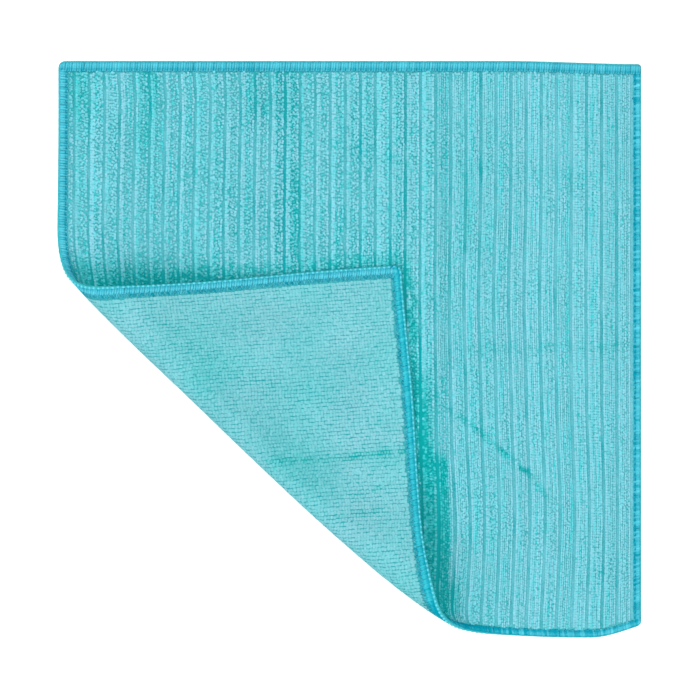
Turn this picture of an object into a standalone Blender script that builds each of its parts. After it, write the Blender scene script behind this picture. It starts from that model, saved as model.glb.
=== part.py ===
"""A ribbed microfibre cloth, lying flat with its lower left corner folded up and over.

Units are metres, +Z is up and +Y is the cloth's top edge. The origin is the middle of the
cloth's footprint, on the surface that it lies on. The ribbed face is up; the folded corner
shows the finer back face.

The cloth is drawn flat first, as a sheet with a back face at height 0 and a ribbed front
face above it, and every point is then carried round the fold.
"""
import math
from collections import namedtuple

import bmesh
import bpy
import numpy as np

# The cut cloth
WIDTH = 0.300
LENGTH = 0.296
THICKNESS = 0.0024

# Ribs of the front face, which run along Y
RIB_PITCH = 0.00774
FIRST_GROOVE = 0.0087          # from the left edge
GROOVES = 37
GROOVE_DEPTH = 0.0010
GROOVE_HALF_WIDTH = 0.0011

# The overlocked band round the edge, pressed thinner than the pile
RIM_WIDTH = 0.0058
RIM_SHOULDER = 0.0012          # from the edge to the band's full height
RIM_HEIGHT = 0.0021
EDGE_HEIGHT = 0.0013

# Rows of points across the ribs: close where the fold crosses them, sparse above it
CLOSE_ROWS = 40
SPARSE_ROWS = 6
CLOSE_ROWS_TOP = 0.062         # Y where the close rows end

# Corner radii of the cut cloth
CORNER_RADIUS = {"top_left": 0.0026, "top_right": 0.0018, "bottom_right": 0.0022, "bottom_left": 0.0012}

# How far each edge is drawn in, growing smoothly from none at one place to all of it at another
EdgeDraw = namedtuple("EdgeDraw", "edge depth none_at all_at")
EDGE_DRAWS = (
    EdgeDraw(edge="top", depth=0.0016, none_at=0.080, all_at=0.150),
    EdgeDraw(edge="bottom", depth=0.0095, none_at=0.124, all_at=0.166),
    EdgeDraw(edge="bottom", depth=0.0026, none_at=0.116, all_at=0.044),
    EdgeDraw(edge="left", depth=0.0032, none_at=0.064, all_at=0.016),
)
EDGE_DEPTH = 0.060             # how far in from an edge its drawing-in fades out

# The fold: its line runs down to the right, and the corner turns over it
FOLD_ANGLE = math.radians(42.6)
ALONG = np.array((math.cos(FOLD_ANGLE), -math.sin(FOLD_ANGLE)))
ACROSS = np.array((-math.sin(FOLD_ANGLE), -math.cos(FOLD_ANGLE)))
DESCENT = math.radians(17)     # steepest slope of the flap, down to the cloth under it
LAYER_GAP = 0.0007             # between the two ribbed faces, where the flap rests
LOOP_EASE = 0.2                # how much flatter the loop is at its ends than a circle

# Stations along the fold: the furthest reach of its outer face, and the mean radius of its loop
FoldStation = namedtuple("FoldStation", "along reach radius")
FOLD = (
    FoldStation(along=-0.150, reach=0.0690, radius=0.0128),
    FoldStation(along=-0.105, reach=0.0722, radius=0.0131),
    FoldStation(along=-0.080, reach=0.0731, radius=0.0115),
    FoldStation(along=-0.045, reach=0.0738, radius=0.0090),
    FoldStation(along=0.000, reach=0.0749, radius=0.0077),
    FoldStation(along=0.045, reach=0.0754, radius=0.0064),
    FoldStation(along=0.070, reach=0.0749, radius=0.0083),
    FoldStation(along=0.095, reach=0.0737, radius=0.0113),
    FoldStation(along=0.120, reach=0.0712, radius=0.0112),
    FoldStation(along=0.150, reach=0.0655, radius=0.0105),
)
FOLD_STEPS = 61                # sections worked out along the fold
MEAN_STEPS = 200               # steps used to average a slope over its run
ARC_STEP = 0.0005
ARC_LENGTH = 0.170             # longest run of cloth past the start of the fold
LAST_INDEX = 1.001             # taken off a table's length, so that a next entry always exists
FLAT_LIMIT = 1e-7              # height under which a point of the back lies on the surface
POINT_SLACK = 1e-6             # room for rounding where a point lies on the band's inner line
FACE_UP = 0.1                  # a face whose normal rises less than this is on the rim

# Soft creases left by packing, as troughs in the pile
Crease = namedtuple("Crease", "start end depth half_width")
CREASES = (
    Crease(start=(0.052, 0.000), end=(0.148, 0.002), depth=0.0006, half_width=0.012),
    Crease(start=(0.050, -0.028), end=(0.108, -0.078), depth=0.0006, half_width=0.011),
    Crease(start=(0.054, 0.004), end=(0.050, 0.140), depth=0.0005, half_width=0.010),
    Crease(start=(-0.027, 0.040), end=(-0.027, 0.092), depth=0.0005, half_width=0.009),
    Crease(start=(-0.030, 0.116), end=(0.140, 0.087), depth=0.0004, half_width=0.014),
)

PILE_COLOUR = (0.135, 0.580, 0.660, 1.0)


def smooth_step(t):
    """0 below 0 and 1 above 1, with an eased rise between."""
    t = np.clip(t, 0.0, 1.0)
    return t * t * (3.0 - 2.0 * t)


def loop_turn(t):
    """Share of the loop's turn made at a share t of its length: nearly even, eased at both ends."""
    t = np.clip(t, 0.0, 1.0)
    return t - LOOP_EASE * np.sin(2.0 * math.pi * t) / (2.0 * math.pi)


def along_fold(column, along):
    """One column of FOLD at distances along the fold, on a smooth curve through its rows."""
    stations = np.array([row.along for row in FOLD])
    values = np.array([getattr(row, column) for row in FOLD])
    slopes = np.gradient(values, stations)
    along = np.clip(along, stations[0], stations[-1])
    low = np.clip(np.searchsorted(stations, along) - 1, 0, len(stations) - 2)
    span = stations[low + 1] - stations[low]
    t = (along - stations[low]) / span
    blend = t * t * (3.0 - 2.0 * t)
    rise = slopes[low] * span * t * (1.0 - t) ** 2
    fall = slopes[low + 1] * span * t * t * (1.0 - t)
    return values[low] * (1.0 - blend) + values[low + 1] * blend + rise - fall


class Fold:
    """Sections of the fold, each the middle line of the sheet as it turns over and settles."""

    def __init__(self):
        self.stations = np.linspace(FOLD[0].along, FOLD[-1].along, FOLD_STEPS)
        radius = along_fold("radius", self.stations)[:, None]
        turn = math.pi + DESCENT
        part = (np.arange(MEAN_STEPS) + 0.5) / MEAN_STEPS
        top = radius * turn * np.mean(np.sin(turn * loop_turn(part)))
        settle_share = np.mean(np.sin(DESCENT * (1.0 - smooth_step(part))))
        bend_length = radius * turn
        settle_length = (top - THICKNESS - LAYER_GAP) / settle_share
        arc = np.arange(0.0, ARC_LENGTH, ARC_STEP) + ARC_STEP / 2
        slope = turn * loop_turn(arc / bend_length)
        slope = slope - DESCENT * smooth_step((arc - bend_length) / settle_length)
        start = np.zeros((FOLD_STEPS, 1))
        self.out = np.hstack((start, np.cumsum(np.cos(slope), axis=1) * ARC_STEP))
        self.up = np.hstack((start, np.cumsum(np.sin(slope), axis=1) * ARC_STEP))
        self.slope = np.hstack((start, slope))
        loop_reach = self.out.max(axis=1) + THICKNESS / 2
        self.start = along_fold("reach", self.stations) - loop_reach

    def read(self, table, along, arc):
        """A table's value at distances along the fold and round it, interpolated both ways."""
        row = (along - self.stations[0]) / (self.stations[1] - self.stations[0])
        row = np.clip(row, 0.0, len(self.stations) - LAST_INDEX)
        column = np.clip(arc / ARC_STEP, 0.0, table.shape[1] - LAST_INDEX)
        i, j = row.astype(int), column.astype(int)
        u, v = row - i, column - j
        near = table[i, j] * (1.0 - v) + table[i, j + 1] * v
        far = table[i + 1, j] * (1.0 - v) + table[i + 1, j + 1] * v
        return near * (1.0 - u) + far * u

    def carry(self, flat):
        """Flat points (x, y, height above the back face) carried round the fold."""
        along = flat[:, :2] @ ALONG
        start = np.interp(along, self.stations, self.start)
        arc = flat[:, :2] @ ACROSS - start
        turned = np.maximum(arc, 0.0)
        slope = np.where(arc > 0.0, self.read(self.slope, along, turned), 0.0)
        lift = flat[:, 2] - THICKNESS / 2
        out = start + np.minimum(arc, 0.0) + self.read(self.out, along, turned) - np.sin(slope) * lift
        up = THICKNESS / 2 + self.read(self.up, along, turned) + np.cos(slope) * lift
        place = np.outer(along, ALONG) + np.outer(out, ACROSS)
        return np.column_stack((place, up))


def columns():
    """X of each line of points: the rims, and three lines to each groove."""
    left = [0.0, RIM_SHOULDER, RIM_WIDTH]
    middle = []
    for number in range(GROOVES):
        groove = FIRST_GROOVE + number * RIB_PITCH
        middle += [groove - GROOVE_HALF_WIDTH, groove, groove + GROOVE_HALF_WIDTH]
    right = [WIDTH - RIM_WIDTH, WIDTH - RIM_SHOULDER, WIDTH]
    return np.array(left + middle + right) - WIDTH / 2


def rows():
    """Y of each line of points, from the bottom edge up."""
    low = -LENGTH / 2
    close = np.linspace(low + RIM_WIDTH, CLOSE_ROWS_TOP, CLOSE_ROWS + 1)
    sparse = np.linspace(CLOSE_ROWS_TOP, -low - RIM_WIDTH, SPARSE_ROWS + 1)
    rim = [-low - RIM_SHOULDER, -low]
    return np.concatenate(([low, low + RIM_SHOULDER], close, sparse[1:], rim))


def trough(x, y, crease):
    """Depth of one crease at a point, deepest on its line and gone at its half width."""
    start, end = np.array(crease.start), np.array(crease.end)
    run = end - start
    point = np.column_stack((x, y)) - start
    t = np.clip(point @ run / (run @ run), 0.0, 1.0)
    away = np.linalg.norm(point - np.outer(t, run), axis=1)
    return crease.depth * smooth_step(1.0 - away / crease.half_width)


def front_height(x, y):
    """Height of the front face above the back: ribs, creases and the band round the edge."""
    from_edge = np.minimum(WIDTH / 2 - np.abs(x), LENGTH / 2 - np.abs(y))
    to_groove = x + WIDTH / 2 - FIRST_GROOVE
    to_groove = np.abs(to_groove - RIB_PITCH * np.clip(np.round(to_groove / RIB_PITCH), 0, GROOVES - 1))
    pile = THICKNESS - GROOVE_DEPTH * np.clip(1.0 - to_groove / GROOVE_HALF_WIDTH, 0.0, 1.0)
    for crease in CREASES:
        pile = pile - trough(x, y, crease)
    rounded = EDGE_HEIGHT + (RIM_HEIGHT - EDGE_HEIGHT) * np.clip(from_edge / RIM_SHOULDER, 0.0, 1.0)
    return np.where(from_edge > RIM_WIDTH + POINT_SLACK, pile, rounded)


def round_corner(x, y, name):
    """Points in a square corner moved onto rings of its round one."""
    radius = CORNER_RADIUS[name]
    side_x = -1.0 if name.endswith("left") else 1.0
    side_y = -1.0 if name.startswith("bottom") else 1.0
    centre_x = side_x * (WIDTH / 2 - radius)
    centre_y = side_y * (LENGTH / 2 - radius)
    off_x, off_y = (x - centre_x) * side_x, (y - centre_y) * side_y
    inside = (off_x > 0.0) & (off_y > 0.0)
    distance = np.where(inside, np.hypot(off_x, off_y), 1.0)
    pull = np.where(inside, np.maximum(off_x, off_y) / distance, 1.0)
    x = np.where(inside, centre_x + side_x * off_x * pull, x)
    y = np.where(inside, centre_y + side_y * off_y * pull, y)
    return x, y


def uneven_outline(x, y):
    """The cut's own unevenness: round corners, and edges drawn in here and there."""
    for name in CORNER_RADIUS:
        x, y = round_corner(x, y, name)
    inward_x, inward_y = np.zeros_like(x), np.zeros_like(y)
    for draw in EDGE_DRAWS:
        run = y if draw.edge == "left" else x
        from_edge = {"top": LENGTH / 2 - y, "bottom": LENGTH / 2 + y, "left": WIDTH / 2 + x}[draw.edge]
        share = smooth_step((run - draw.none_at) / (draw.all_at - draw.none_at))
        inward = draw.depth * share * smooth_step(1.0 - from_edge / EDGE_DEPTH)
        if draw.edge == "left":
            inward_x += inward
        else:
            inward_y += -inward if draw.edge == "top" else inward
    return x + inward_x, y + inward_y


def flat_sheet(column_x, row_y):
    """The sheet before its points are placed: an even grid of one unit a side, given its thickness."""
    bpy.ops.mesh.primitive_grid_add(
        x_subdivisions=len(column_x) - 1, y_subdivisions=len(row_y) - 1, size=1.0
    )
    grid = bpy.context.object
    thicken = grid.modifiers.new("thickness", "SOLIDIFY")
    thicken.thickness = THICKNESS
    thicken.offset = 1.0
    mesh = bpy.data.meshes.new_from_object(grid.evaluated_get(bpy.context.evaluated_depsgraph_get()))
    bpy.data.objects.remove(grid)
    return mesh


def points_of(mesh):
    """A mesh's points, as rows of x, y and z."""
    points = np.empty(len(mesh.vertices) * 3)
    mesh.vertices.foreach_get("co", points)
    return points.reshape(-1, 3)


def set_points(mesh, points):
    mesh.vertices.foreach_set("co", points.ravel())
    mesh.update()


def split_faces(mesh):
    """Each square of the even grid split from upper left to lower right, the way the fold runs."""
    work = bmesh.new()
    work.from_mesh(mesh)
    for face in list(work.faces):
        if abs(face.normal.z) > FACE_UP:
            corners = sorted(face.verts, key=lambda vert: vert.co.x - vert.co.y)
            bmesh.utils.face_split(face, corners[0], corners[-1])
    work.to_mesh(mesh)
    work.free()


def raise_ribs(mesh, column_x, row_y):
    """Each point of the even grid moved to its rib and row, and the front face to its height."""
    points = points_of(mesh)
    i = np.round((points[:, 0] + 0.5) * (len(column_x) - 1)).astype(int)
    j = np.round((points[:, 1] + 0.5) * (len(row_y) - 1)).astype(int)
    x, y = column_x[i], row_y[j]
    height = np.where(points[:, 2] > THICKNESS / 2, front_height(x, y), 0.0)
    x, y = uneven_outline(x, y)
    set_points(mesh, np.column_stack((x, y, height)))


def join_flat_back(mesh):
    """The part of the back that lies on the surface made one flat face."""
    work = bmesh.new()
    work.from_mesh(mesh)
    flat_back = [face for face in work.faces if all(abs(vert.co.z) < FLAT_LIMIT for vert in face.verts)]
    bmesh.ops.dissolve_faces(work, faces=flat_back)
    bmesh.ops.triangulate(work, faces=[face for face in work.faces if len(face.verts) == 4])
    bmesh.ops.recalc_face_normals(work, faces=work.faces)
    work.to_mesh(mesh)
    work.free()


def pile_material():
    material = bpy.data.materials.new("ribbed_pile")
    material.use_nodes = True
    shader = material.node_tree.nodes["Principled BSDF"]
    shader.inputs["Base Color"].default_value = PILE_COLOUR
    shader.inputs["Roughness"].default_value = 0.95
    shader.inputs["Metallic"].default_value = 0.0
    return material


def make_cloth(collection):
    column_x, row_y = columns(), rows()
    mesh = flat_sheet(column_x, row_y)
    split_faces(mesh)
    raise_ribs(mesh, column_x, row_y)
    set_points(mesh, Fold().carry(points_of(mesh)))
    join_flat_back(mesh)
    mesh.name = "cloth"
    mesh.materials.append(pile_material())
    collection.objects.link(bpy.data.objects.new("cloth", mesh))


def main():
    for item in list(bpy.data.objects):
        bpy.data.objects.remove(item)
    collection = bpy.data.collections.new("microfibre_cloth")
    bpy.context.scene.collection.children.link(collection)
    make_cloth(collection)


main()
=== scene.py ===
"""The looks of a ribbed microfibre cloth that lies flat with its lower left corner folded over.

Units are metres, +Z is up and +Y is the cloth's top edge. Every piece is drawn on the cloth as
it was cut, in flat coordinates (x, y, height above the back face), and is then carried round the
fold, so that the pile and the thread bend with the sheet.
"""
import math
from collections import namedtuple

import bpy
import numpy as np
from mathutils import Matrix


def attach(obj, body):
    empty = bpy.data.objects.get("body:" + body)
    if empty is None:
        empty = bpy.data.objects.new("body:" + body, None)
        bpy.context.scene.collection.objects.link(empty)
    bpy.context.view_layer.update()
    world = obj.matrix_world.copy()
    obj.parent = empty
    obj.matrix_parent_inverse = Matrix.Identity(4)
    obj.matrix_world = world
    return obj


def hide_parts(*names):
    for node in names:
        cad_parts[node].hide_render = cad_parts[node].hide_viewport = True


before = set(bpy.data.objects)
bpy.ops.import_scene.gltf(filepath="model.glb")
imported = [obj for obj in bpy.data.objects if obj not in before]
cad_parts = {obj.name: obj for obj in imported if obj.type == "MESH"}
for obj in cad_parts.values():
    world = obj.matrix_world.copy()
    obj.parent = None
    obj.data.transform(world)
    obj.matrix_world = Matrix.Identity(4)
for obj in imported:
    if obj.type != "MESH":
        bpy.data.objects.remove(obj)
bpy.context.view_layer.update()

SEED = 20

# The cut cloth
WIDTH = 0.300
LENGTH = 0.296
THICKNESS = 0.0024

# Ribs of the front face, which run along Y
RIB_PITCH = 0.00774
FIRST_GROOVE = 0.0087  # from the left edge
GROOVES = 38
WALE_PITCH = RIB_PITCH / 4

# The overlocked band round the edge
RIM_WIDTH = 0.0058
RIM_SHOULDER = 0.0012  # from the edge to the band's full height
RIM_HEIGHT = 0.0021
RIM_BACK = 0.00052  # height of the band's back, pressed in under its thread
BACK_RIM_WIDTH = 0.0062  # the thread reaches further in on the back
EDGE_HEIGHT = 0.0013

# Side by side: how much of the band shows on the front, where its needle line is, its thread's tone and how
# uneven that is, how much lighter and how much more vivid it is on the back, how near a corner its stitches
# come and how far its inner loops reach
Band = namedtuple("Band", "width needle tone uneven back back_vivid corner_stop scallop")
BANDS = {
    "top": Band(0.0056, 0.0040, 0.66, 0.08, 0.0, 0.0, 0.0010, 0.0022),
    "bottom": Band(0.0041, 0.0033, 0.48, 0.18, -0.02, 0.36, 0.0010, 0.0017),
    "left": Band(0.0054, 0.0042, 0.65, 0.07, 0.04, 0.0, 0.0030, 0.0023),
    "right": Band(0.0042, 0.0033, 0.52, 0.16, 0.0, 0.0, 0.0030, 0.0022),
}

# Corner radii of the cut cloth
CORNER_RADIUS = {"top_left": 0.0036, "top_right": 0.0018, "bottom_right": 0.0022, "bottom_left": 0.0034}

# How far each edge is drawn in, growing smoothly from none at one place to all of it at another
# along it, and how far in from the edge that fades out
EdgeDraw = namedtuple("EdgeDraw", "edge depth none_at all_at fade")
EDGE_DRAWS = (
    EdgeDraw("top", 0.0016, 0.080, 0.150, 0.060),
    EdgeDraw("bottom", 0.0095, 0.124, 0.166, 0.060),
    EdgeDraw("bottom", 0.0026, 0.116, 0.044, 0.060),
    EdgeDraw("left", 0.0032, 0.064, 0.016, 0.060),
    EdgeDraw("left", 0.0008, 0.030, 0.120, 0.014),
)

# The fold: its line runs down to the right, and the corner turns over it
FOLD_ANGLE = math.radians(42.6)
ALONG = np.array((math.cos(FOLD_ANGLE), -math.sin(FOLD_ANGLE)))
ACROSS = np.array((-math.sin(FOLD_ANGLE), -math.cos(FOLD_ANGLE)))
DESCENT = math.radians(17)  # steepest slope of the flap, down to the cloth under it
LAYER_GAP = 0.0007  # between the two ribbed faces, where the flap rests
LOOP_EASE = 0.2  # how much flatter the loop is at its ends than a circle

# Stations along the fold: the furthest reach of its outer face, and the mean radius of its loop
FoldStation = namedtuple("FoldStation", "along reach radius")
FOLD = (
    FoldStation(-0.150, 0.0690, 0.0128),
    FoldStation(-0.105, 0.0722, 0.0131),
    FoldStation(-0.080, 0.0731, 0.0115),
    FoldStation(-0.045, 0.0738, 0.0090),
    FoldStation(0.000, 0.0749, 0.0077),
    FoldStation(0.045, 0.0754, 0.0064),
    FoldStation(0.070, 0.0749, 0.0083),
    FoldStation(0.095, 0.0737, 0.0113),
    FoldStation(0.120, 0.0712, 0.0112),
    FoldStation(0.150, 0.0655, 0.0105),
)
FOLD_STEPS = 61  # sections worked out along the fold
MEAN_STEPS = 200  # steps used to average a slope over its run
ARC_STEP = 0.0005
ARC_LENGTH = 0.170  # longest run of cloth past the start of the fold
LAST_INDEX = 1.001  # taken off a table's length, so that a next entry always exists

# Smooth random fields: how much each adds, the size of its patches, how much longer these are along Y,
# and its seed
Drift = namedtuple("Drift", "amount scale stretch seed")
DRIFTS = {
    "crease": Drift(0.36, 0.009, 1.0, 40),
    "ground": Drift(0.07, 0.050, 2.0, 31),
    "ground_fine": Drift(0.10, 0.016, 3.0, 32),
    "loose": Drift(0.20, 0.050, 1.0, 1),
    "loop_tone": Drift(0.03, 0.070, 1.0, 2),
    "row_tone": Drift(0.07, 0.030, 20.0, 3),
    "loop_vivid": Drift(0.12, 0.050, 9.0, 4),
    "row_x": Drift(0.00010, 0.020, 20.0, 5),
    "back_crease": Drift(0.40, 0.011, 1.0, 41),
    "back_tone": Drift(0.05, 0.050, 1.0, 12),
    "back_vivid": Drift(0.10, 0.040, 1.0, 13),
}
DRIFT_WAVES = 6
WAVE_SIZES = (0.7, 1.5)  # least and most of a wave's size, to its field's

# Standard deviations of what varies about a mean
SPREAD = {
    "groove_tone": 0.06, "rib_breadth": 0.06, "rib_tone": 0.015, "row_tone": 0.05, "row_vivid": 0.11,
    "rib_end": 0.0003, "loop_x": 0.00024, "loop_y": 0.00030, "loop_top": 0.00008, "loop_turn": 0.26,
    "loop_vivid": 0.12, "back_x": 0.00012, "back_y": 0.00012, "back_end": 0.0002, "back_turn": 0.18,
    "back_tone": 0.04, "back_vivid": 0.05, "strand_bend": 0.00016, "strand_reach": 0.00018,
    "bead_run": 0.00008, "bead_tone": 0.10, "scallop_reach": 0.00030, "scallop_tone": 0.16,
    "needle_line": 0.00012, "needle_tone": 0.08,
}
# Least and most of what varies evenly
RANGE = {
    "loop_size": (0.80, 1.12), "loop_width": (0.88, 1.06), "loop_arch": (0.6, 1.4), "back_shift": (0.0, 0.6),
    "back_top": (0.00002, 0.00014), "back_size": (0.90, 1.08), "back_width": (0.72, 1.06),
    "strand_rise": (-0.00005, 0.00005), "strand_width": (0.85, 1.15), "bead_inward": (-0.00008, 0.00008),
}

# Soft creases left by packing, where the pile sinks, each with painted shade along it; the last two rows sink
# nothing and are painted shadows on the cloth beside the raised flap's top and right edges
Crease = namedtuple("Crease", "start end depth half_width shade")
CREASES_AND_SHADOWS = (
    Crease((0.052, 0.000), (0.148, 0.002), 0.0003, 0.004, 0.08),
    Crease((0.0480, -0.0290), (0.0575, -0.0350), 0.0002, 0.0024, 0.16),
    Crease((0.0586, -0.0360), (0.0690, -0.0440), 0.0003, 0.0026, 0.30),
    Crease((0.0690, -0.0462), (0.0765, -0.0500), 0.0003, 0.0024, 0.20),
    Crease((0.0770, -0.0520), (0.0850, -0.0575), 0.0003, 0.0026, 0.40),
    Crease((0.0850, -0.0596), (0.0920, -0.0640), 0.0003, 0.0026, 0.36),
    Crease((0.0920, -0.0660), (0.1000, -0.0760), 0.0002, 0.0026, 0.16),
    Crease((0.054, 0.004), (0.050, 0.140), 0.0002, 0.005, 0.06),
    Crease((0.0606, 0.051), (0.0606, 0.0895), 0.0003, 0.003, 0.18),
    Crease((-0.027, 0.040), (-0.027, 0.092), 0.0004, 0.0032, 0.26),
    Crease((-0.030, 0.116), (0.010, 0.098), 0.0002, 0.005, 0.06),
    Crease((0.010, 0.098), (0.140, 0.087), 0.0002, 0.005, 0.06),
    # Painted shadows beside the raised flap's top edge and right edge
    Crease((-0.130, 0.0305), (0.0245, 0.0440), 0.0, 0.010, 0.28),
    Crease((0.0290, 0.0400), (0.0375, -0.0540), 0.0, 0.008, 0.42),
)

# Patches of tone: their sides, how softly these fade and how the tone changes. The first four are painted
# shade on the cloth beside the raised flap's lower and left ends; the last three are patches where the pile
# lies the other way
NapLightAndShadePatch = namedtuple("NapLightAndShadePatch", "left right bottom top fade_left fade_right fade_y tone")
NAPS_AND_SHADOWS = (
    # Painted shade beside the flap's raised lower end, in the throat under it
    NapLightAndShadePatch(0.030, 0.0494, -0.150, -0.055, 0.004, 0.0005, 0.005, -0.44),
    NapLightAndShadePatch(0.030, 0.0450, -0.060, -0.016, 0.004, 0.005, 0.016, -0.20),
    NapLightAndShadePatch(0.0490, 0.0560, -0.142, -0.122, 0.001, 0.002, 0.006, -0.28),
    # Painted shade beside the flap's raised left end
    NapLightAndShadePatch(-0.150, -0.080, -0.020, 0.044, 0.001, 0.040, 0.008, -0.24),
    # Darker patches where the pile lies the other way
    NapLightAndShadePatch(-0.145, -0.128, 0.118, 0.150, 0.003, 0.012, 0.012, -0.15),
    NapLightAndShadePatch(-0.112, -0.098, 0.100, 0.150, 0.006, 0.006, 0.012, -0.12),
    NapLightAndShadePatch(-0.050, -0.028, 0.119, 0.150, 0.003, 0.003, 0.003, -0.10),
)

# Painted shade on the stitches at the end of the throat, as deep as on the pile there
BAND_SHADOWS = (
    NapLightAndShadePatch(0.030, 0.088, -0.155, -0.130, 0.004, 0.030, 0.004, -0.34),
)

# The same on the back of the folded corner, in world X and Y: darker and lighter patches of painted shade and
# light where the flap undulates, and creases with painted shade along them; the last two crease rows sink
# nothing and are painted shade on a soft bend of the flap
FLAP_LIGHT_AND_SHADE = (
    NapLightAndShadePatch(-0.090, -0.066, -0.030, -0.006, 0.012, 0.014, 0.012, -0.14),
    NapLightAndShadePatch(-0.050, -0.020, -0.062, -0.034, 0.012, 0.014, 0.014, -0.10),
    NapLightAndShadePatch(-0.044, 0.012, -0.078, -0.059, 0.008, 0.030, 0.008, -0.08),
    NapLightAndShadePatch(0.000, 0.030, -0.080, -0.060, 0.012, 0.004, 0.006, 0.10),
    NapLightAndShadePatch(-0.020, 0.030, -0.051, -0.040, 0.016, 0.004, 0.006, 0.08),
)
FLAP_CREASES_AND_SHADE = (
    Crease((-0.043, -0.0570), (-0.029, -0.0567), 0.0002, 0.0030, 0.28),
    Crease((-0.029, -0.0567), (0.000, -0.0553), 0.0002, 0.0024, 0.22),
    Crease((-0.001, -0.0553), (0.0275, -0.0520), 0.0002, 0.0036, 0.34),
    Crease((-0.012, -0.0875), (0.014, -0.0820), 0.0002, 0.0032, 0.20),
    Crease((0.002, -0.0760), (0.020, -0.0700), 0.0002, 0.0026, 0.14),
    # Painted shade on the lower left of a soft bend, with no crease
    Crease((-0.0997, 0.0150), (-0.0560, -0.0132), 0.0, 0.0100, 0.08),
    Crease((-0.0560, -0.0132), (0.0005, -0.0286), 0.0, 0.0100, 0.07),
)

# Where the ribs wander sideways: soft patches with their centre, their spread and the shift
Sway = namedtuple("Sway", "x y spread_x spread_y shift")
SWAYS = (
    Sway(-0.090, 0.136, 0.090, 0.040, 0.0008),
    Sway(-0.090, 0.058, 0.090, 0.040, -0.0008),
    Sway(0.078, 0.028, 0.050, 0.050, -0.0013),
    Sway(0.100, -0.085, 0.060, 0.055, 0.0020),
    Sway(0.054, -0.095, 0.022, 0.050, 0.0018),
)
SWAY_FADE = 0.016  # how far in from an edge the ribs are free to wander
SWAY_FALL = 2.0  # how quickly a patch fades out from its centre

# The rows of loops in a rib: their place across it, half width, how much lighter and how loose they are
Row = namedtuple("Row", "share half_width tone loose")
RIB_ROWS = (
    Row(0.170, 0.00068, 0.05, 0.40),
    Row(0.304, 0.00066, 0.01, 0.55),
    Row(0.438, 0.00060, -0.08, 1.05),
    Row(0.572, 0.00064, 0.04, 1.15),
    Row(0.704, 0.00059, -0.07, 1.10),
    Row(0.834, 0.00062, 0.06, 0.80),
)

# The pile's loops, each a short arch of yarn, one to a row and course
LOOP_COURSE = 0.00134
LOOP_HALF_LENGTH = 0.00084
LOOP_HALF_HEIGHT = 0.00018
LOOP_ARCH = 0.00026  # how far an arch's ends lie below its middle
LOOP_RINGS = 4  # points along an arch, its two tips among them
LOOP_TAPER = 0.75  # how much thinner it is at its ends
FALLEN_LOOPS = 0.17  # share of the loosest loops that have dropped, and how far
FALLEN_DEPTH = 0.00026
PILE_BASE = 0.00186  # height of the knit under the loops, and in the grooves between ribs
GROOVE_FLOOR = 0.00178
GROOVE_HALF_WIDTH = 0.00050
GROOVE_FLARE = 1.6  # reach of a groove's soft sides, in its half widths
ROW_CLEARANCE = 0.0002  # from the band to the first row
LOOP_TOP = THICKNESS - 0.00006  # height of the loops' tops
ZIGZAG = 0.36  # turn of one loop, and of the next the other way, where the pile is loose
ROUND_END = 0.0020  # how much shorter a rib is at its sides than in its middle
COMBED_WIDTH = 0.75  # width of a combed row, to that of a loose one
COMBED_LENGTH = 1.5  # and the length of its loops
COMBED_ARCH = 0.15  # and the height of their arches
LEAST_STRAY = 0.3  # how far a combed loop strays along its row, to a loose one
LOOSE_MEAN = 0.56  # how loose the pile is, and how much more so on the left and less on the right
LOOSE_FALL = 0.32
LOOSE_MIDDLE = 0.035  # X where it changes, over what length, and the least anywhere
LOOSE_OVER = 0.040
LEAST_LOOSE = 0.15
COVER_MARGIN = 0.012  # how far in from the flap's edges pile still shows under it
LOOP_TRIANGLES = 190000  # most in one piece
LOOP_FOOT_SHADE = 0.42  # painted shade: how much darker a loop's feet are than its top

PILE_TONE = 0.70  # tones run from 0, the deepest colour, to 1
EVEN_TONE = 0.03  # how much a loop's tone varies, and how much more where it is loose
LOOSE_TONE = 0.06
ROW_VIVID = 1.6  # how much more vivid a row is for each step of its darker tone
CREASE_MEAN = 0.88  # share of a crease's shade that shows, on average
SPECKLE = 0.65  # how unevenly single loops take on the painted shade of a crease or patch
FALLEN_SHADE = 0.30  # painted shade: how much darker and how much more vivid a dropped loop is, lower in the pile
FALLEN_VIVID = 0.30
PLAIN_VIVID = 0.35  # how far the fabric's colour is turned to a clearer green-blue, on average
LEAST_VIVID = 0.14  # the same at the least
GROUND_VIVID = 0.20  # in the knit between the loops, dark as painted shade of the pile's gaps
BACK_VIVID = 0.27  # in the stitches of the finer back face
SHADE_VIVID = 1.30  # and how much more so for each step of painted shade from a crease or patch
GROUND_TONE = 0.24  # of the knit between the loops, dark as painted shade of the pile's gaps, and how much lighter it is to the right
GROUND_LIGHTER = 0.04
LIGHTER_FROM = -0.010  # X where that starts, and over what length it grows
LIGHTER_OVER = 0.070
RIM_TONE = 0.30  # the sheet's own edge, where it shows between the threads
RIM_VIVID = 0.75
INNER_TONE = 0.34  # and the line along the band's inner side
INNER_VIVID = 0.55
EDGE_SHARE = 0.6  # how far across the band the edge's tone reaches

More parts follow.
